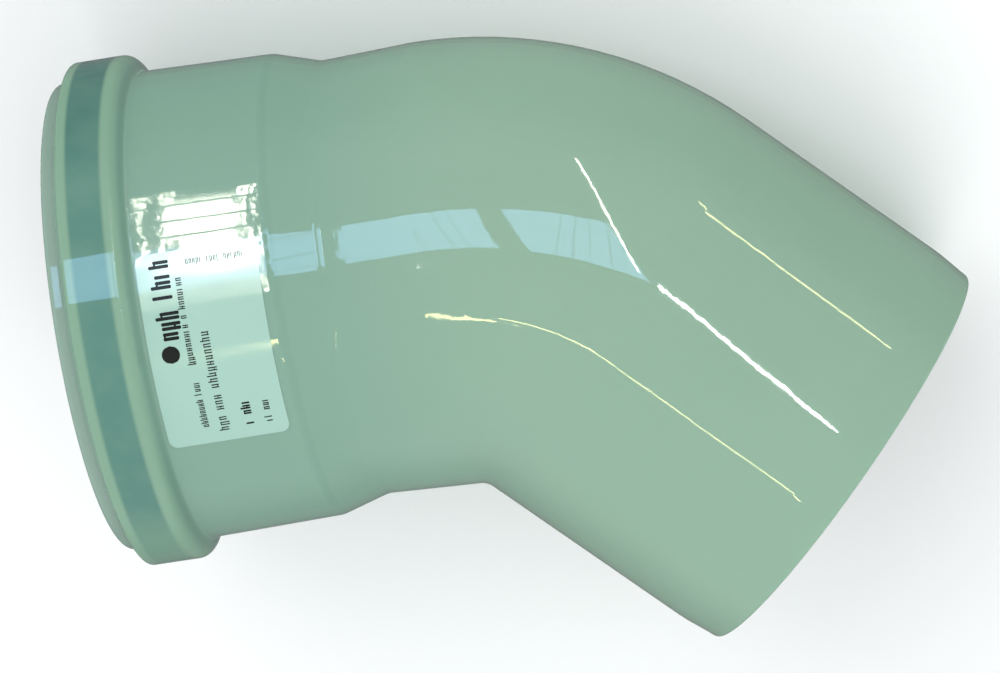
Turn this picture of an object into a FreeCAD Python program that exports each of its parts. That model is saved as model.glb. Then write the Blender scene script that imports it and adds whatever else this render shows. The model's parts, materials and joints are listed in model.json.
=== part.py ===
"""Flue elbow, 45 degrees, DN 160: a moulded plastic socket-and-spigot bend, its lip seal and its label.

Millimetres. The elbow lies on its side, as it lies on a bench. +X runs along the spigot's axis, out of
the spigot, and +Z is up. It touches the bench with the spigot's lowest line and with the socket's bead,
so the plane of the bend is rolled a few degrees about the spigot's axis. The origin is at the middle of
the bounding box's base.

Pipe sections are drawn as outlines of (station, radius, corner radius), where the station is the
distance along a pipe's axis.
"""
import FreeCAD, Part
import math
import os

# The pipe and the bend
SPIGOT_R = 80.0
WALL = 4.2
BEND_ANGLE = 45.0
BEND_THROAT_R = 3.0
SPIGOT_REACH = 131.8
SOCKET_REACH = 163.6

# The spigot's end, eased so that it starts into a seal
SPIGOT_EASE_LENGTH = 14.0
SPIGOT_EASE_DEPTH = 1.2
SPIGOT_EASE_BLEND_R = 60.0
SPIGOT_EDGE_R = 1.2

# The socket's outside, with stations measured from the mouth
LIP_R = 85.0
LIP_EDGE_R = 1.8
BEAD_R = 91.7
BEAD_FRONT = 4.5
BEAD_CREST_FRONT = 7.2
BEAD_CREST_BACK = 26.9
BEAD_BACK = 30.7
BEAD_FRONT_ROUND = 1.2
BEAD_BACK_ROUND = 4.5
BEAD_FOOT_ROUND = 1.2
SOCKET_FRONT_R = 85.0
SOCKET_BACK_R = 83.8
SOCKET_DEPTH = 78.5
TAPER_LENGTH = 17.2
TAPER_ROUND = 9.0
NECK_R = 78.6

# The socket's inside
MOUTH_BORE_R = 80.8
MOUTH_CHAMFER = 1.8
GROOVE_FRONT = 10.1
GROOVE_FLOOR_BACK = 25.2
GROOVE_BACK = 27.2
GROOVE_R = 88.0
GROOVE_ROUND = 1.0
BORE_FRONT_R = 81.2
BORE_BACK_R = 80.5
NECK_BORE_R = 74.9
STOP_ROUND = 5.0

# The lip seal, which stands in the groove with a thick heel and leans a thin lip towards the bend
SEAL_PLAY = 0.1
HEEL_LENGTH = 13.6
HEEL_INNER_R = 82.3
HEEL_ROUND = 0.9
HEEL_BACK_INNER_R = 85.4
LIP_ROOT = 9.2
LIP_ROOT_OUTER_R = 83.7
SEAL_LIP_R = 79.0
SEAL_LIP_BACK = 15.6
SEAL_LIP_LAND = 2.0
SEAL_LIP_THICKNESS = 1.7
SEAL_LIP_ROUND = 0.3

# The label, stuck on the side of the socket that faces up, a couple of degrees off centre
LABEL_FRONT = 31.8
LABEL_LENGTH = 43.0
LABEL_ARC_LENGTH = 72.0
LABEL_OFF_CENTRE = 2.2
LABEL_THICKNESS = 0.2
LABEL_CORNER_R = 3.2

# Worked out from the dimensions above
BEND_R = SPIGOT_R + BEND_THROAT_R
BEND_TANGENT = BEND_R * math.tan(math.radians(BEND_ANGLE / 2))
SPIGOT_LENGTH = SPIGOT_REACH - BEND_TANGENT
SOCKET_LENGTH = SOCKET_REACH - BEND_TANGENT
TAPER_END = SOCKET_DEPTH + TAPER_LENGTH
SPIGOT_BORE_R = SPIGOT_R - WALL

X_AXIS = FreeCAD.Vector(1, 0, 0)
Z_AXIS = FreeCAD.Vector(0, 0, 1)


def rounded_outline(corners):
    """Closed wire in the XY plane through (x, y, corner radius) corners, in order."""
    points = [FreeCAD.Vector(x, y, 0) for x, y, _ in corners]
    rounds = [radius for _, _, radius in corners]
    edges = []
    leave = []
    for index, corner in enumerate(points):
        back = (points[index - 1] - corner).normalize()
        onward = (points[(index + 1) % len(points)] - corner).normalize()
        radius = rounds[index]
        if radius == 0:
            leave.append((corner, corner))
            continue
        half = back.getAngle(onward) / 2
        setback = radius / math.tan(half)
        centre = corner + (back + onward).normalize() * (radius / math.sin(half))
        start = corner + back * setback
        end = corner + onward * setback
        middle = centre + (corner - centre).normalize() * radius
        edges.append(Part.Arc(start, middle, end).toShape())
        leave.append((start, end))
    for index, (_, end) in enumerate(leave):
        next_start = leave[(index + 1) % len(leave)][0]
        if end.distanceToPoint(next_start) > 1e-6:
            edges.append(Part.LineSegment(end, next_start).toShape())
    return Part.Wire(Part.__sortEdges__(edges))


def turned(corners):
    """Solid of revolution about the X axis of an outline of (station, radius, corner radius)."""
    face = Part.Face(rounded_outline(corners))
    return face.revolve(FreeCAD.Vector(), X_AXIS, 360)


def socket_outline():
    """The socket and neck in section: outside from the mouth to the bend, then back along the inside."""
    return [
        (0, LIP_R, LIP_EDGE_R),
        (BEAD_FRONT, LIP_R, 0.4),
        (BEAD_CREST_FRONT, BEAD_R, BEAD_FRONT_ROUND),
        (BEAD_CREST_BACK, BEAD_R, BEAD_BACK_ROUND),
        (BEAD_BACK, SOCKET_FRONT_R, BEAD_FOOT_ROUND),
        (SOCKET_DEPTH, SOCKET_BACK_R, TAPER_ROUND),
        (TAPER_END, NECK_R, TAPER_ROUND),
        (SOCKET_LENGTH, SPIGOT_R, 0),
        (SOCKET_LENGTH, SPIGOT_BORE_R, 0),
        (TAPER_END, NECK_BORE_R, STOP_ROUND),
        (SOCKET_DEPTH, BORE_BACK_R, STOP_ROUND),
        (GROOVE_BACK, BORE_FRONT_R, GROOVE_ROUND / 2),
        (GROOVE_FLOOR_BACK, GROOVE_R, GROOVE_ROUND),
        (GROOVE_FRONT, GROOVE_R, GROOVE_ROUND),
        (GROOVE_FRONT, MOUTH_BORE_R, 0),
        (MOUTH_CHAMFER, MOUTH_BORE_R, 0),
        (0, MOUTH_BORE_R + MOUTH_CHAMFER, 0),
    ]


def spigot_outline():
    """The spigot in section, from the bend to its eased end."""
    ease_start = SPIGOT_LENGTH - SPIGOT_EASE_LENGTH
    return [
        (0, SPIGOT_R, 0),
        (ease_start, SPIGOT_R, SPIGOT_EASE_BLEND_R),
        (SPIGOT_LENGTH, SPIGOT_R - SPIGOT_EASE_DEPTH, SPIGOT_EDGE_R),
        (SPIGOT_LENGTH, SPIGOT_BORE_R, SPIGOT_EDGE_R / 2),
        (0, SPIGOT_BORE_R, 0),
    ]


def seal_outline():
    """The lip seal in section: the heel in the groove, and the lip that leans in towards the bend."""
    front = GROOVE_FRONT + SEAL_PLAY
    back = front + HEEL_LENGTH
    outer_r = GROOVE_R - SEAL_PLAY
    lip_back = front + SEAL_LIP_BACK
    land_front = lip_back - SEAL_LIP_LAND
    return [
        (front, outer_r, HEEL_ROUND + GROOVE_ROUND),
        (back, outer_r, HEEL_ROUND),
        (back, HEEL_BACK_INNER_R, HEEL_ROUND),
        (front + LIP_ROOT, LIP_ROOT_OUTER_R, HEEL_ROUND),
        (lip_back, SEAL_LIP_R + SEAL_LIP_THICKNESS, SEAL_LIP_ROUND),
        (lip_back, SEAL_LIP_R, SEAL_LIP_ROUND),
        (land_front, SEAL_LIP_R, SEAL_LIP_ROUND),
        (front + 2 * HEEL_ROUND, HEEL_INNER_R, HEEL_ROUND),
        (front, HEEL_INNER_R + HEEL_ROUND, HEEL_ROUND),
    ]


def bend_wall():
    """The bend's wall: a ring turned about an axis at the throat's side of the bend."""
    rim = Part.Wire(Part.makeCircle(SPIGOT_R, FreeCAD.Vector(), X_AXIS))
    bore = Part.Wire(Part.makeCircle(SPIGOT_BORE_R, FreeCAD.Vector(), X_AXIS))
    section = Part.Face([rim, bore])
    return section.revolve(FreeCAD.Vector(0, -BEND_R, 0), Z_AXIS, BEND_ANGLE)


def at_socket(shape):
    """Move a shape from its own X axis, mouth at zero, to the socket's place on the bend."""
    mouth_to_corner = FreeCAD.Placement(FreeCAD.Vector(-SOCKET_REACH, 0, 0), FreeCAD.Rotation())
    turn = FreeCAD.Placement(FreeCAD.Vector(), FreeCAD.Rotation(Z_AXIS, BEND_ANGLE))
    corner = FreeCAD.Placement(FreeCAD.Vector(-BEND_TANGENT, 0, 0), FreeCAD.Rotation())
    moved = shape.copy()
    moved.Placement = corner * turn * mouth_to_corner * shape.Placement
    return moved


def elbow_body():
    """The one-piece moulding: socket, neck, bend and spigot."""
    socket = at_socket(turned(socket_outline()))
    spigot = turned(spigot_outline())
    return socket.fuse([bend_wall(), spigot]).removeSplitter()


def lip_seal():
    """The rubber lip seal, in the socket's groove."""
    return at_socket(turned(seal_outline()))


def socket_radius(station):
    """Radius of the socket's drafted outside at a station."""
    slope = (SOCKET_BACK_R - SOCKET_FRONT_R) / (SOCKET_DEPTH - BEAD_BACK)
    return SOCKET_FRONT_R + slope * (station - BEAD_BACK)


def product_label():
    """The label film, wrapped on the socket's drafted outside, with rounded corners."""
    back = LABEL_FRONT + LABEL_LENGTH
    skin = turned([
        (LABEL_FRONT, socket_radius(LABEL_FRONT), 0),
        (LABEL_FRONT, socket_radius(LABEL_FRONT) + LABEL_THICKNESS, 0),
        (back, socket_radius(back) + LABEL_THICKNESS, 0),
        (back, socket_radius(back), 0),
    ])
    half_chord = SOCKET_FRONT_R * math.sin(LABEL_ARC_LENGTH / 2 / SOCKET_FRONT_R)
    window = rounded_outline([
        (LABEL_FRONT, -half_chord, LABEL_CORNER_R),
        (back, -half_chord, LABEL_CORNER_R),
        (back, half_chord, LABEL_CORNER_R),
        (LABEL_FRONT, half_chord, LABEL_CORNER_R),
    ])
    cutter = Part.Face(window).extrude(FreeCAD.Vector(0, 0, 2 * BEAD_R))
    film = skin.common(cutter).Solids[0]
    film.rotate(FreeCAD.Vector(), X_AXIS, -LABEL_OFF_CENTRE)
    return at_socket(film)


def resting_roll():
    """Roll about the spigot's axis, in degrees, at which the spigot and the bead both touch the bench.

    The bead touches with the round at the back of its crest. With s the sine of the roll, that round's
    centre circle hangs below its centre by its radius times the root of 1 - (sin(bend) * s)^2.
    """
    bend_sine = math.sin(math.radians(BEND_ANGLE))
    back_turn = math.atan2(BEAD_R - SOCKET_FRONT_R, BEAD_BACK - BEAD_CREST_BACK)
    round_reach = SOCKET_REACH - BEAD_CREST_BACK + BEAD_BACK_ROUND * math.tan(back_turn / 2)
    offset = round_reach * bend_sine
    drop = SPIGOT_R - BEAD_BACK_ROUND
    ring = BEAD_R - BEAD_BACK_ROUND
    a = offset**2 + (ring * bend_sine)**2
    b = 2 * offset * drop
    c = drop**2 - ring**2
    return math.degrees(math.asin((-b + math.sqrt(b * b - 4 * a * c)) / (2 * a)))


def laid_down(shapes):
    """Roll the parts onto the bench, and put the origin at the middle of their box's base."""
    roll = FreeCAD.Placement(FreeCAD.Vector(), FreeCAD.Rotation(X_AXIS, -resting_roll()))
    rolled = {}
    for node, shape in shapes.items():
        rolled[node] = shape.copy()
        rolled[node].Placement = roll * shape.Placement
    box = Part.Compound(list(rolled.values())).optimalBoundingBox(False, False)
    base = FreeCAD.Vector(-box.Center.x, -box.Center.y, -box.ZMin)
    for shape in rolled.values():
        shape.translate(base)
    return rolled


os.makedirs("parts", exist_ok=True)
parts = laid_down({
    "elbow_body": elbow_body(),
    "lip_seal": lip_seal(),
    "product_label": product_label(),
})
for node, shape in parts.items():
    print(node, shape.ShapeType, "solids", len(shape.Solids), "valid", shape.isValid(), "volume", shape.Volume)
    shape.exportStep(f"parts/{node}.step")
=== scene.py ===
"""Flue elbow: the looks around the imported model. Metres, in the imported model's own frame."""
import json
import math
import random

import bmesh
import bpy
from mathutils import Matrix, Vector


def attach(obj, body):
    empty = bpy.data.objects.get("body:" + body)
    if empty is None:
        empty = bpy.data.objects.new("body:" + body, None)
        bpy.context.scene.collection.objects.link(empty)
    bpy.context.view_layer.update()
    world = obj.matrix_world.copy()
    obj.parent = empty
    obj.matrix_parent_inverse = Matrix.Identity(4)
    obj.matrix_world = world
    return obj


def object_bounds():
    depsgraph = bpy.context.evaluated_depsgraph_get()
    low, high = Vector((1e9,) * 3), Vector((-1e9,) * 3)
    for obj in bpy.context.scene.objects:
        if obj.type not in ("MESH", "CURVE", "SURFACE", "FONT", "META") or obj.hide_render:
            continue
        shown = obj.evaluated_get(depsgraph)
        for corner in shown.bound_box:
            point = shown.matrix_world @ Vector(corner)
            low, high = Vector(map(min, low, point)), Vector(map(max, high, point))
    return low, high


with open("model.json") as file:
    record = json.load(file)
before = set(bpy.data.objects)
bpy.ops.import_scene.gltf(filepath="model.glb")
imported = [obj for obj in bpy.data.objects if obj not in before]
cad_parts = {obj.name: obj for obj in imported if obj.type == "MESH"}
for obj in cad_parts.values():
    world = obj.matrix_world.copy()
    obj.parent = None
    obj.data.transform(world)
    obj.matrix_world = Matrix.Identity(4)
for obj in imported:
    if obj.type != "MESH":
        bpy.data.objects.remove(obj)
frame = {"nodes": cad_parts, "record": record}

CAD_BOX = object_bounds()
MM = 0.001

# The camera: a long lens from above. Elevation and azimuth, in degrees, are of the way that it looks.
VIEW_ELEVATION = -67.38
VIEW_AZIMUTH = -77.26
VIEW_ROLL = -157.09
VIEW_DISTANCE = 2.5107
AIM_OFFSET = Vector((0.0279, 0.0140, -0.0028))
LENS_MM = 252.0
SENSOR_MM = 36.0

# The seal as it shows through the bead's wall, between two distances from the mouth
SEAL_FRONT = 10.7 * MM
SEAL_BACK = 23.1 * MM
SEAL_BLUR = 0.9 * MM

# Painted light and shade on it, by distance from the socket's axis: painted light fades it at the socket's
# low side, and painted shade darkens it at the high side
SEAL_PAINTED_LIGHT_START = -50.0 * MM
SEAL_PAINTED_LIGHT_END = -75.0 * MM
SEAL_PAINTED_SHADE_START = 60.0 * MM
SEAL_PAINTED_SHADE_END = 88.0 * MM

# Other shades of the moulding, as distances from the mouth: the lip, the bead, a painted shade line at the
# foot of the bead's back, the stop that a pipe meets inside, and the deeper tint of the socket, which fades
# out in the bend
LIP_BACK = 4.6 * MM
BEAD_LIGHT_BACK = 28.0 * MM
SHOULDER_PAINTED_SHADE = 29.5 * MM
SHOULDER_PAINTED_SHADE_WIDTH = 1.5 * MM
STOP_FRONT = 78.0 * MM
STOP_BACK = 81.0 * MM
TINT_FADE_START = 60.0 * MM
TINT_FADE_END = 170.0 * MM

# The moulding's unevenness: how many waves there are in a metre, and how high they stand
WAVES_PER_M = 25.0
WAVE_HEIGHT = 0.07 * MM
RIPPLES_PER_M = 150.0
RIPPLE_HEIGHT = 0.014 * MM
SPECKS_PER_M = 34.0
SPECK_R = 0.55 * MM

# The rings moulded on the seal
RING_PITCH = 0.9 * MM
RING_HEIGHT = 0.05 * MM

# The print's place above the label, and its thickness
INK_GAP = 0.012 * MM
INK_THICKNESS = 0.03 * MM

# The print in millimetres, from the label's corner that is nearest the mouth and the low side. A row is
# its middle line, height, start, end, strokes in each word, and a stroke's weight against its pitch.
DISC_ROW = 7.6
DISC_PLACE = 36.5
DISC_R = 3.2
DISC_STRIPS = 12
PRINT_ROWS = (
    (8.6, 6.0, 41.3, 70.4, (3, 4), 0.34),
    (14.3, 2.2, 7.3, 25.9, (8, 4), 0.24),
    (14.3, 2.2, 31.7, 63.4, (9, 1, 7), 0.24),
    (20.6, 2.9, 4.7, 43.5, (3, 3, 10), 0.20),
    (29.6, 3.0, 5.6, 16.1, (1, 3), 0.32),
    (36.6, 2.3, 5.5, 15.4, (2, 3), 0.26),
)
END_ROW = (68.2, 2.0, 17.6, 38.6, (5, 4, 6), 0.22)
PRINT_SEED = 7

# The window that shows in the gloss, as shares of its lamp's face. Its sides bow, and each narrow strip
# is its two sides and its top.
WINDOW_BOW = 0.7
WINDOW_PANE = (0.497, 0.612)
WINDOW_STRIPS = ((0.442, 0.466, 0.89), (0.619, 0.634, 0.93), (0.722, 0.738, 0.91))
WINDOW_BARS = (0.80, 0.67, 0.55)
WINDOW_BAR_HALF = 0.007

# The roof light's glazing bars, each its place along the lamp and half its width
SKY_BARS = ((0.20, 0.006), (0.33, 0.009), (0.47, 0.006), (0.66, 0.009), (0.79, 0.006))

FLOOR_R = 6.0

# Lamps that only show in reflections stand this far from the object
LAMP_DISTANCE = 2.5


def frame_axes():
    """The spigot's and the socket's axes, the bend plane's normal, and the direction across the socket."""
    mounts = {mount["name"]: mount for mount in frame["record"]["mounts"]}
    along_spigot = Vector(mounts["spigot"]["axis"])
    into_socket = -Vector(mounts["socket_mouth"]["axis"])
    normal = along_spigot.cross(into_socket).normalized()
    on_axis = Vector(mounts["socket_mouth"]["pos_m"])
    body = frame["nodes"]["elbow_body"].data.vertices
    mouth_offset = min(vertex.co.dot(into_socket) for vertex in body) - on_axis.dot(into_socket)
    mouth = on_axis + into_socket * mouth_offset
    return along_spigot, into_socket, normal, normal.cross(into_socket), mouth


SPIGOT_AXIS, SOCKET_AXIS, BEND_NORMAL, ACROSS, MOUTH = frame_axes()


def linear(red, green, blue):
    """Scene-linear colour of an 8-bit display colour."""
    def channel(value):
        share = value / 255
        if share <= 0.04045:
            return share / 12.92
        return ((share + 0.055) / 1.055) ** 2.4
    return (channel(red), channel(green), channel(blue), 1.0)


# ---------------------------------------------------------------- material helpers

def add_node(tree, kind, inputs=None, **settings):
    """Adds a node. An input's value is a number, a colour or another node's output."""
    made = tree.nodes.new(kind)
    for name, value in settings.items():
        setattr(made, name, value)
    for name, value in (inputs or {}).items():
        if isinstance(value, bpy.types.NodeSocket):
            tree.links.new(value, made.inputs[name])
        else:
            made.inputs[name].default_value = value
    return made


def maths(tree, operation, first, second=0.0, clamp=False):
    """One arithmetic step on two values."""
    made = add_node(tree, "ShaderNodeMath", {0: first, 1: second}, operation=operation, use_clamp=clamp)
    return made.outputs[0]


def step_up(tree, value, start, end, low=0.0, high=1.0):
    """Runs smoothly from low to high while value goes from start to end."""
    inputs = {"Value": value, "From Min": start, "From Max": end, "To Min": low, "To Max": high}
    made = add_node(tree, "ShaderNodeMapRange", inputs, interpolation_type="SMOOTHSTEP")
    return made.outputs["Result"]


def band(tree, value, start, end, blur):
    """One between start and end, with blurred edges, and zero elsewhere."""
    rise = step_up(tree, value, start - blur, start + blur)
    fall = step_up(tree, value, end - blur, end + blur, 1.0, 0.0)
    return maths(tree, "MULTIPLY", rise, fall)


def mix_colour(tree, factor, first, second):
    """Mixes two colours."""
    made = tree.nodes.new("ShaderNodeMix")
    made.data_type = "RGBA"
    for socket, value in ((made.inputs[0], factor), (made.inputs[6], first), (made.inputs[7], second)):
        if isinstance(value, bpy.types.NodeSocket):
            tree.links.new(value, socket)
        else:
            socket.default_value = value
    return made.outputs[2]


def noise(tree, coordinates, scale, detail=2.0, roughness=0.5):
    """Soft noise from 0 to 1. The scale is in cycles per metre."""
    inputs = {"Vector": coordinates, "Scale": scale, "Detail": detail, "Roughness": roughness}
    return add_node(tree, "ShaderNodeTexNoise", inputs).outputs["Fac"]


def stretched(tree, coordinates, scale):
    """Coordinates scaled differently along each axis."""
    return add_node(tree, "ShaderNodeMapping", {"Vector": coordinates, "Scale": scale}).outputs["Vector"]


def reach(tree, coordinates, axis):
    """Distance from the mouth's middle along an axis."""
    inputs = {0: coordinates, 1: axis}
    along = add_node(tree, "ShaderNodeVectorMath", inputs, operation="DOT_PRODUCT").outputs["Value"]
    return maths(tree, "SUBTRACT", along, MOUTH.dot(axis))


def start_material(name):
    """A material with its shader and the object's own coordinates."""
    material = bpy.data.materials.new(name)
    material.use_nodes = True
    tree = material.node_tree
    shader = tree.nodes["Principled BSDF"]
    coordinates = tree.nodes.new("ShaderNodeTexCoord").outputs["Object"]
    return material, tree, shader, coordinates


def bump(tree, height, distance, strength, normal=None):
    """Turns a height from 0 to 1 into a shading normal."""
    inputs = {"Height": height, "Distance": distance, "Strength": strength}
    if normal is not None:
        inputs["Normal"] = normal
    return add_node(tree, "ShaderNodeBump", inputs).outputs["Normal"]


# ---------------------------------------------------------------- materials

def specks(tree, coordinates, scale, radius):
    """A few tiny spots: one in some of the cells of a coarse pattern."""
    cells = add_node(tree, "ShaderNodeTexVoronoi", {"Vector": coordinates, "Scale": scale})
    near = step_up(tree, cells.outputs["Distance"], radius * scale * 0.6, radius * scale, 1.0, 0.0)
    chosen = step_up(tree, noise(tree, cells.outputs["Position"], 37.0, 0.0), 0.60, 0.62)
    return maths(tree, "MULTIPLY", near, chosen)


def body_plastic():
    """Grey-green polypropylene: glossy, slightly see-through, with the seal showing through the bead, painted
    light and shade on the seal band, and a painted shade line behind the bead.
    """
    material, tree, shader, coordinates = start_material("body_plastic")
    from_mouth = reach(tree, coordinates, SOCKET_AXIS)
    clouds = noise(tree, coordinates, 16.0, 3.0)
    flow = noise(tree, stretched(tree, coordinates, (4.0, 4.0, 40.0)), 5.0, 2.0)

    plain = mix_colour(tree, clouds, linear(139, 172, 149), linear(146, 178, 156))
    plain = mix_colour(tree, maths(tree, "MULTIPLY", flow, 0.25), plain, linear(135, 167, 147))
    socket_tint = step_up(tree, from_mouth, TINT_FADE_START, TINT_FADE_END, 0.62, 0.0)
    plain = mix_colour(tree, socket_tint, plain, linear(121, 160, 145))

    lip = step_up(tree, from_mouth, LIP_BACK - 0.5 * MM, LIP_BACK + 1.5 * MM, 0.7, 0.0)
    plain = mix_colour(tree, lip, plain, linear(147, 168, 157))
    bead_light = band(tree, from_mouth, LIP_BACK + 2 * MM, BEAD_LIGHT_BACK, SEAL_BLUR)
    plain = mix_colour(tree, maths(tree, "MULTIPLY", bead_light, 0.8), plain, linear(131, 167, 142))

    mottle = step_up(tree, noise(tree, coordinates, 60.0, 3.0), 0.3, 0.7, 0.80, 0.98)
    across = reach(tree, coordinates, ACROSS)
    # Painted light: the seal band fades lighter towards the socket's low side.
    low_side_painted_light = step_up(tree, across, SEAL_PAINTED_LIGHT_END, SEAL_PAINTED_LIGHT_START, 0.4, 1.0)
    seal_band_and_painted_light = maths(tree, "MULTIPLY", band(tree, from_mouth, SEAL_FRONT, SEAL_BACK, SEAL_BLUR), low_side_painted_light)
    seal_tone_and_painted_shade = mix_colour(tree, clouds, linear(80, 128, 116), linear(88, 137, 124))
    # Painted shade: the seal band darkens towards the socket's high side.
    high_side_painted_shade = step_up(tree, across, SEAL_PAINTED_SHADE_START, SEAL_PAINTED_SHADE_END, 0.0, 0.5)
    seal_tone_and_painted_shade = mix_colour(tree, high_side_painted_shade, seal_tone_and_painted_shade, linear(64, 104, 100))
    shown = mix_colour(tree, maths(tree, "MULTIPLY", seal_band_and_painted_light, mottle), plain, seal_tone_and_painted_shade)

    # Painted shade: a thin dark line in the crease at the foot of the bead's back shoulder.
    half = SHOULDER_PAINTED_SHADE_WIDTH / 2
    shoulder_painted_shade = band(tree, from_mouth, SHOULDER_PAINTED_SHADE - half, SHOULDER_PAINTED_SHADE + half, SEAL_BLUR * 0.6)
    shown = mix_colour(tree, maths(tree, "MULTIPLY", shoulder_painted_shade, 0.45), shown, linear(104, 143, 126))

    stop = band(tree, from_mouth, STOP_FRONT, STOP_BACK, SEAL_BLUR)
    shown = mix_colour(tree, maths(tree, "MULTIPLY", stop, 0.16), shown, linear(104, 143, 126))

    spots = specks(tree, coordinates, SPECKS_PER_M, SPECK_R)
    shown = mix_colour(tree, maths(tree, "MULTIPLY", spots, 0.6), shown, linear(92, 120, 100))
    tree.links.new(shown, shader.inputs["Base Color"])

    smears = noise(tree, coordinates, 45.0, 4.0, 0.6)
    tree.links.new(step_up(tree, smears, 0.3, 0.75, 0.020, 0.038), shader.inputs["Roughness"])
    waves = bump(tree, noise(tree, coordinates, WAVES_PER_M, 1.0), WAVE_HEIGHT, 1.0)
    ripples = bump(tree, noise(tree, coordinates, RIPPLES_PER_M, 2.0), RIPPLE_HEIGHT, 1.0, waves)
    tree.links.new(ripples, shader.inputs["Normal"])

    shader.inputs["IOR"].default_value = 1.49
    shader.inputs["Subsurface Weight"].default_value = 0.35
    shader.inputs["Subsurface Radius"].default_value = (0.9, 1.3, 1.0)
    shader.inputs["Subsurface Scale"].default_value = 3.0 * MM
    return material


def seal_rubber():
    """Matt black-green rubber with moulded rings and a little bloom."""
    material, tree, shader, coordinates = start_material("seal_rubber")
    from_mouth = reach(tree, coordinates, SOCKET_AXIS)
    bloom = step_up(tree, noise(tree, coordinates, 120.0, 4.0, 0.6), 0.45, 0.75)
    colour = mix_colour(tree, maths(tree, "MULTIPLY", bloom, 0.5), linear(34, 42, 41), linear(66, 78, 75))
    tree.links.new(colour, shader.inputs["Base Color"])
    tree.links.new(step_up(tree, bloom, 0.0, 1.0, 0.42, 0.68), shader.inputs["Roughness"])
    rings = maths(tree, "SINE", maths(tree, "MULTIPLY", from_mouth, 2 * math.pi / RING_PITCH))
    relief = bump(tree, maths(tree, "MULTIPLY_ADD", rings, 0.5), RING_HEIGHT, 0.35)
    fine = bump(tree, noise(tree, coordinates, 1500.0, 2.0), 0.03 * MM, 0.3, relief)
    tree.links.new(fine, shader.inputs["Normal"])
    return material


def label_film():
    """Pale printed film with a soft gloss."""
    material, tree, shader, coordinates = start_material("label_film")
    fibres = noise(tree, coordinates, 700.0, 3.0, 0.6)
    clouds = noise(tree, coordinates, 30.0, 2.0)
    paper = mix_colour(tree, clouds, linear(159, 197, 182), linear(166, 203, 189))
    paper = mix_colour(tree, maths(tree, "MULTIPLY", fibres, 0.22), paper, linear(150, 188, 174))
    tree.links.new(paper, shader.inputs["Base Color"])
    tree.links.new(step_up(tree, clouds, 0.3, 0.7, 0.08, 0.13), shader.inputs["Roughness"])
    waves = bump(tree, noise(tree, coordinates, 70.0, 2.0), 0.06 * MM, 1.0)
    tree.links.new(bump(tree, fibres, 0.004 * MM, 0.6, waves), shader.inputs["Normal"])
    shader.inputs["IOR"].default_value = 1.5
    return material


def print_ink():
    """Black thermal print with small gaps in its cover."""
    material, tree, shader, coordinates = start_material("print_ink")
    worn = step_up(tree, noise(tree, coordinates, 1600.0, 3.0, 0.7), 0.62, 0.85)
    colour = mix_colour(tree, maths(tree, "MULTIPLY", worn, 0.6), linear(9, 14, 13), linear(70, 92, 86))
    tree.links.new(colour, shader.inputs["Base Color"])
    tree.links.new(step_up(tree, worn, 0.0, 1.0, 0.35, 0.55), shader.inputs["Roughness"])
    shader.inputs["Specular IOR Level"].default_value = 0.25
    return material


def floor_finish():
    """Plain pale floor, with the faintest unevenness."""
    material, tree, shader, coordinates = start_material("floor_finish")
    clouds = noise(tree, coordinates, 3.0, 2.0)
    colour = mix_colour(tree, clouds, (0.95, 0.95, 0.95, 1), (0.98, 0.98, 0.98, 1))
    tree.links.new(colour, shader.inputs["Base Color"])
    shader.inputs["Roughness"].default_value = 0.9
    shader.inputs["Specular IOR Level"].default_value = 0.0
    return material


def dress(node, material):
    """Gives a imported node's object its finished material."""
    data = frame["nodes"][node].data
    data.materials.clear()
    data.materials.append(material)


# ---------------------------------------------------------------- the label's print

def label_sheet():
    """The label's outer face as a map from millimetres on the label to a point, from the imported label."""
    spots = []
    for vertex in frame["nodes"]["product_label"].data.vertices:
        out = vertex.co - MOUTH
        along = out.dot(SOCKET_AXIS)
        radial = out - SOCKET_AXIS * along
        angle = math.atan2(radial.dot(ACROSS), radial.dot(BEND_NORMAL))
        spots.append((along, angle, radial.length))
    front = min(spot[0] for spot in spots)
    back = max(spot[0] for spot in spots)
    low = min(spot[1] for spot in spots)
    front_radius = max(spot[2] for spot in spots if spot[0] < front + 0.1 * MM)
    back_radius = max(spot[2] for spot in spots if spot[0] > back - 0.1 * MM)

    def point(across_rows, along_text, height):
        along = front + across_rows * MM
        share = (along - front) / (back - front)
        radius = front_radius + (back_radius - front_radius) * share + height
        angle = low + along_text * MM / front_radius
        spoke = BEND_NORMAL * math.cos(angle) + ACROSS * math.sin(angle)
        return MOUTH + SOCKET_AXIS * along + spoke * radius
    return point


def stroke_row(dice, row, height, start, end, words, weight):
    """Upright and level strokes in word-like groups: print from afar, and spelling nothing."""
    outlines = []
    pitch = (end - start) / (sum(words) + len(words) - 1)
    place = start
    for count in words:
        for _ in range(count):
            top = row - height * (0.70 if dice.random() < 0.3 else 0.42)
            base = row + height * (0.5 if dice.random() > 0.1 else 0.72)
            first, second = place + pitch * 0.08, place + pitch * 0.52
            thick = pitch * weight
            outlines.append(rounded_bar(top, base, first, first + thick))
            if dice.random() < 0.75:
                outlines.append(rounded_bar(row - height * 0.42, base, second, second + thick))
                level = row + height * dice.choice((-0.40, 0.02, 0.30))
                outlines.append(rounded_bar(level, level + thick * 0.7, first + thick, second))
            place += pitch
        place += pitch
    return outlines


def rounded_bar(top, base, left, right):
    """A bar with cut corners, as (row, along) points."""
    cut = min(right - left, base - top) * 0.25
    return [
        (top, left + cut), (top, right - cut), (top + cut, right), (base - cut, right),
        (base, right - cut), (base, left + cut), (base - cut, left), (top + cut, left),
    ]


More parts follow.
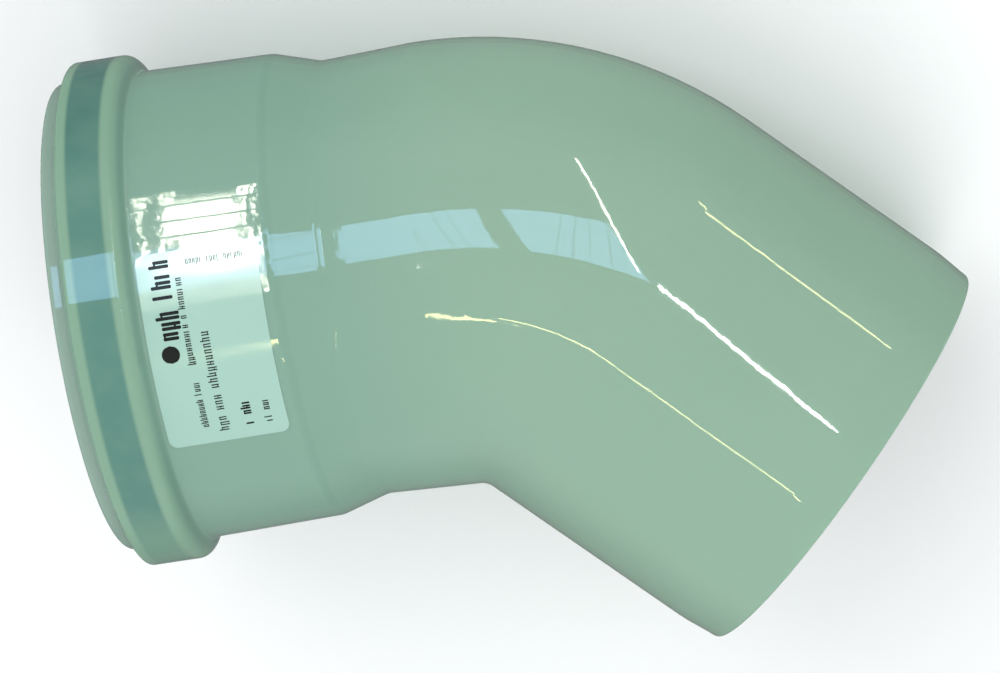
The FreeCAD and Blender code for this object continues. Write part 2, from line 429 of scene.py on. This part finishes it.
def round_mark(row, along, radius):
    """A plain disc, cut into strips that follow the label's curve."""
    outlines = []
    for index in range(DISC_STRIPS):
        left = -radius + 2 * radius * index / DISC_STRIPS
        right = left + 2 * radius / DISC_STRIPS
        left_half = math.sqrt(max(radius ** 2 - left ** 2, 1e-4))
        right_half = math.sqrt(max(radius ** 2 - right ** 2, 1e-4))
        outlines.append([
            (row - left_half, along + left), (row - right_half, along + right),
            (row + right_half, along + right), (row + left_half, along + left),
        ])
    return outlines


def print_outlines():
    """Every printed shape on the label, in millimetres."""
    dice = random.Random(PRINT_SEED)
    shapes = round_mark(DISC_ROW, DISC_PLACE, DISC_R)
    for row in PRINT_ROWS:
        shapes += stroke_row(dice, *row)
    along_the_end = stroke_row(dice, *END_ROW)
    shapes += [[(along, row) for row, along in outline] for outline in along_the_end]
    return shapes


def label_print(material):
    """The print as thin closed shapes just above the label."""
    point = label_sheet()
    mesh = bmesh.new()
    for outline in print_outlines():
        bottom = [mesh.verts.new(point(row, along, INK_GAP)) for row, along in outline]
        top = [mesh.verts.new(point(row, along, INK_GAP + INK_THICKNESS)) for row, along in outline]
        mesh.faces.new(top)
        mesh.faces.new(list(reversed(bottom)))
        for index, corner in enumerate(bottom):
            following = (index + 1) % len(bottom)
            mesh.faces.new([corner, bottom[following], top[following], top[index]])
    bmesh.ops.recalc_face_normals(mesh, faces=mesh.faces)
    data = bpy.data.meshes.new("label_print")
    mesh.to_mesh(data)
    mesh.free()
    data.materials.append(material)
    piece = bpy.data.objects.new("label_print", data)
    bpy.context.scene.collection.objects.link(piece)
    return piece


# ---------------------------------------------------------------- stage, lights and camera

def direction(azimuth, elevation):
    """Unit vector at an azimuth and elevation in degrees."""
    turn = math.radians(azimuth)
    rise = math.radians(elevation)
    return Vector((math.cos(rise) * math.cos(turn), math.cos(rise) * math.sin(turn), math.sin(rise)))


def make_floor(material, z):
    """A wide round floor. It stays out of the gloss, so that grazing edges read darker than the floor."""
    mesh = bmesh.new()
    bmesh.ops.create_circle(mesh, cap_ends=True, segments=96, radius=FLOOR_R)
    data = bpy.data.meshes.new("floor")
    mesh.to_mesh(data)
    mesh.free()
    data.materials.append(material)
    floor = bpy.data.objects.new("floor", data)
    floor.location = (0, 0, z)
    floor.visible_glossy = False
    bpy.context.scene.collection.objects.link(floor)


def add_lamp(name, centre, azimuth, elevation, length, width, radiance, colour, spin=0.0,
             distance=LAMP_DISTANCE, only_gloss=True):
    """A flat lamp that faces the object. Its long side turns by spin from the spigot's direction."""
    out = direction(azimuth, elevation)
    level = (SPIGOT_AXIS - out * SPIGOT_AXIS.dot(out)).normalized()
    upright = out.cross(level)
    lean = math.radians(spin)
    long_side = level * math.cos(lean) + upright * math.sin(lean)
    data = bpy.data.lights.new(name, "AREA")
    data.shape = "RECTANGLE"
    data.size = length
    data.size_y = width
    data.color = colour
    data.energy = radiance * math.pi * length * width
    lamp = bpy.data.objects.new(name, data)
    turn = Matrix((long_side, out.cross(long_side), out)).transposed()
    lamp.matrix_world = Matrix.Translation(centre + out * distance) @ turn.to_4x4()
    lamp.visible_camera = False
    lamp.visible_diffuse = not only_gloss
    lamp.visible_glossy = only_gloss
    bpy.context.scene.collection.objects.link(lamp)
    return data


def lamp_face(data):
    """A lamp's node tree, and the place on its face from 0 to 1 along and across."""
    data.use_nodes = True
    tree = data.node_tree
    face = add_node(tree, "ShaderNodeNewGeometry").outputs["Parametric"]
    place = add_node(tree, "ShaderNodeSeparateXYZ", {"Vector": face})
    return tree, face, place.outputs["X"], place.outputs["Y"]


def below(tree, value, end, blur):
    """One below end, and zero above it."""
    return step_up(tree, value, end - blur, end + blur, 1.0, 0.0)


def with_bar(tree, shape, along, place, half, blur, share):
    """Darkens a shape by a share where a glazing bar crosses it."""
    bar = maths(tree, "MULTIPLY", band(tree, along, place - half, place + half, blur), share)
    return maths(tree, "MULTIPLY", shape, maths(tree, "SUBTRACT", 1.0, bar))


def paint_window(data):
    """A tall window seen in the gloss: a wide ragged pane and three narrow strips, with cross bars."""
    tree, face, along, across = lamp_face(data)
    from_middle = maths(tree, "SUBTRACT", along, 0.5)
    bow = maths(tree, "MULTIPLY", maths(tree, "MULTIPLY", from_middle, from_middle), WINDOW_BOW)
    side = maths(tree, "SUBTRACT", across, bow)

    spikes = noise(tree, stretched(tree, face, (3.0, 190.0, 1.0)), 1.0, 2.0, 0.6)
    ragged_top = maths(tree, "ADD", along, maths(tree, "MULTIPLY", spikes, 0.42))
    ragged_foot = maths(tree, "ADD", along, maths(tree, "MULTIPLY", spikes, 0.30))
    shape = maths(tree, "MULTIPLY", band(tree, side, *WINDOW_PANE, 0.003), below(tree, ragged_top, 1.0, 0.02))
    shape = maths(tree, "MULTIPLY", shape, step_up(tree, ragged_foot, 0.38, 0.42))

    for start, end, top in WINDOW_STRIPS:
        strip = maths(tree, "MULTIPLY", band(tree, side, start, end, 0.002), below(tree, along, top, 0.01))
        shape = maths(tree, "MAXIMUM", shape, strip)
    for place in WINDOW_BARS:
        shape = with_bar(tree, shape, along, place, WINDOW_BAR_HALF, 0.003, 1.0)
    tree.links.new(shape, tree.nodes["Emission"].inputs["Strength"])


def paint_sky(data, slant):
    """A pale roof light with a few thin glazing bars across it."""
    tree, face, along, across = lamp_face(data)
    tilted = maths(tree, "ADD", along, maths(tree, "MULTIPLY", across, slant))
    shape = maths(tree, "ADD", 0.85, maths(tree, "MULTIPLY", noise(tree, face, 3.0, 2.0), 0.3))
    for place, half in SKY_BARS:
        shape = with_bar(tree, shape, tilted, place, half, 0.004, 0.5)
    tree.links.new(shape, tree.nodes["Emission"].inputs["Strength"])


def surround():
    """A pale dome for the light: brighter overhead, and dim below the horizon."""
    world = bpy.data.worlds.new("surround")
    world.use_nodes = True
    tree = world.node_tree
    around = tree.nodes.new("ShaderNodeTexCoord").outputs["Generated"]
    height = add_node(tree, "ShaderNodeSeparateXYZ", {"Vector": around}).outputs["Z"]
    background = tree.nodes["Background"]
    background.inputs["Color"].default_value = (0.96, 0.98, 1.0, 1.0)
    tree.links.new(step_up(tree, height, -0.5, 0.25, 0.20, 0.84), background.inputs["Strength"])
    bpy.context.scene.world = world


def light_studio(centre):
    """Two large soft lamps and a pale surround for the light, and others that only show in the gloss.

    A lamp is its azimuth, elevation, length, width, radiance, colour and spin.
    """
    white = (1.0, 1.0, 1.0)
    pale = (1.0, 0.98, 0.82)
    warm = (1.0, 0.92, 0.42)
    sky = (0.36, 0.64, 1.0)
    add_lamp("soft_right", centre, -25, 50, 1.6, 1.6, 1.6, white, distance=2.2, only_gloss=False)
    add_lamp("soft_left", centre, 140, 48, 1.6, 1.6, 1.7, white, distance=2.2, only_gloss=False)

    add_lamp("glint_bend", centre, 99.7, 29.3, 2.1, 0.020, 44, pale, -60.5)
    add_lamp("glint_spigot", centre, 76.0, 53.0, 0.48, 0.024, 60, white, -68.4)
    add_lamp("glint_high", centre, 82.7, 3.8, 0.41, 0.024, 20, warm, -45.6)
    add_lamp("glint_low_bend", centre, -62.5, 82.5, 0.20, 0.020, 22, warm, -38.0)
    add_lamp("glint_low_turn", centre, -46.3, 82.1, 0.10, 0.022, 22, warm, 24.6)
    add_lamp("glint_low_spigot", centre, -31.5, 76.8, 0.45, 0.022, 22, warm, -19.3)

    paint_window(add_lamp("window", centre, 140.6, 42.3, 2.8, 0.26, 44, pale, 129.5))
    paint_sky(add_lamp("sky_left", centre, 136.6, 54.1, 0.73, 0.85, 7.0, sky, 41.8), 0.1)
    paint_sky(add_lamp("sky_right", centre, 102.3, 48.2, 0.84, 0.86, 7.0, sky, 37.6), -0.35)
    surround()


def make_camera(centre):
    """The long-lens camera, looking down at the elbow."""
    forward = direction(VIEW_AZIMUTH, VIEW_ELEVATION)
    level = forward.cross(Vector((0, 0, 1))).normalized()
    rise = level.cross(forward)
    roll = math.radians(VIEW_ROLL)
    right = level * math.cos(roll) + rise * math.sin(roll)
    data = bpy.data.cameras.new("camera")
    data.lens = LENS_MM
    data.sensor_width = SENSOR_MM
    data.clip_end = 50.0
    camera = bpy.data.objects.new("camera", data)
    turn = Matrix((right, right.cross(forward), -forward)).transposed()
    camera.matrix_world = Matrix.Translation(centre + AIM_OFFSET - forward * VIEW_DISTANCE) @ turn.to_4x4()
    bpy.context.scene.collection.objects.link(camera)
    bpy.context.scene.camera = camera


low_corner, high_corner = (Vector(corner) for corner in CAD_BOX)
middle = (low_corner + high_corner) / 2

dress("elbow_body", body_plastic())
dress("lip_seal", seal_rubber())
dress("product_label", label_film())

ink = label_print(print_ink())
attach(ink, "root")

make_floor(floor_finish(), low_corner.z)
light_studio(middle)
make_camera(middle)
bpy.context.scene.view_settings.view_transform = "Standard"
